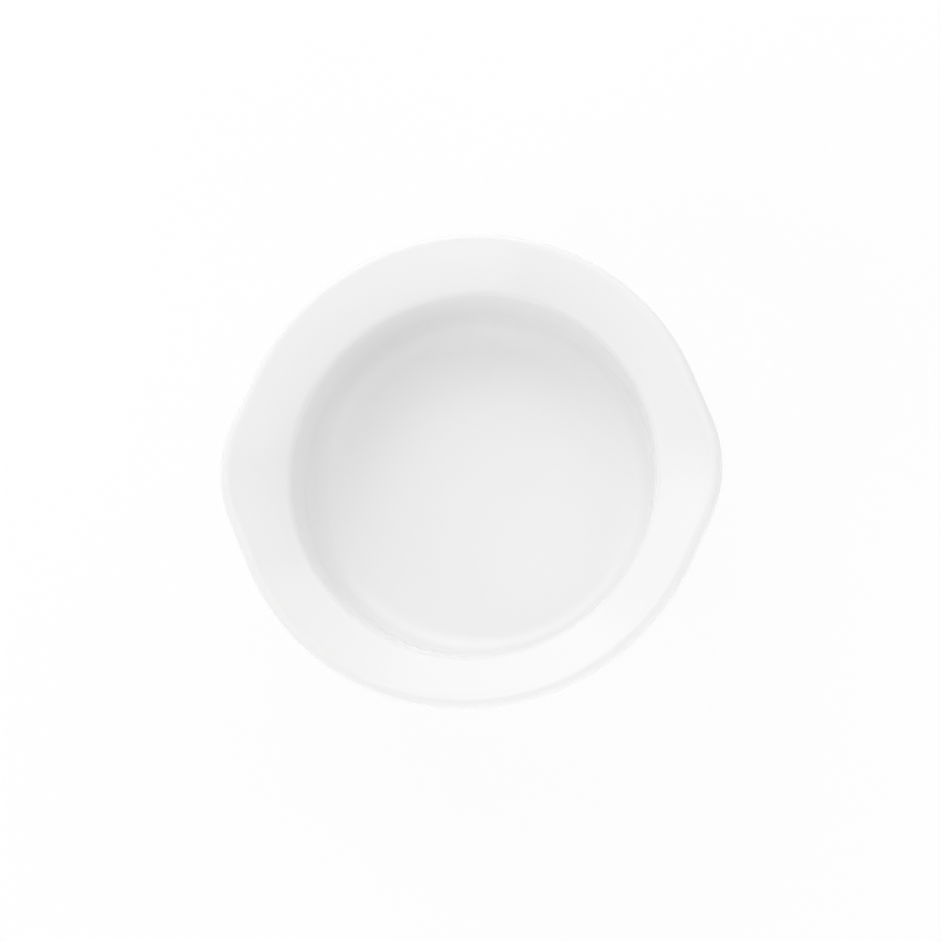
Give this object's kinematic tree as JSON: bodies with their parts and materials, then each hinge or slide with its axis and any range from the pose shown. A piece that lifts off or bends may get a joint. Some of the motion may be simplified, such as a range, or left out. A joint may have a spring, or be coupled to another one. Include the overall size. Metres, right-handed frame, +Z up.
{
  "type": "eared baking dish",
  "caption": "Round white glazed porcelain baking dish with a flat floor, a steep wall and a sloping rim drawn out to a blunt pointed ear at each side, on a bare foot ring.",
  "frame": {"origin": "centre of the foot ring, on the plane the dish stands on", "axes": "+Z up out of the mouth, X through the tips of both ears, +Y away from the viewer of the picture"},
  "size_m": [0.2, 0.1918, 0.05],
  "materials": {
    "bare_porcelain": "unglazed, matt",
    "white_glaze": "white, glossy"
  },
  "bodies": {
    "root": {"porcelain_body": "bare_porcelain", "main_glaze": "white_glaze", "base_glaze": "white_glaze"}
  },
  "joints": []
}
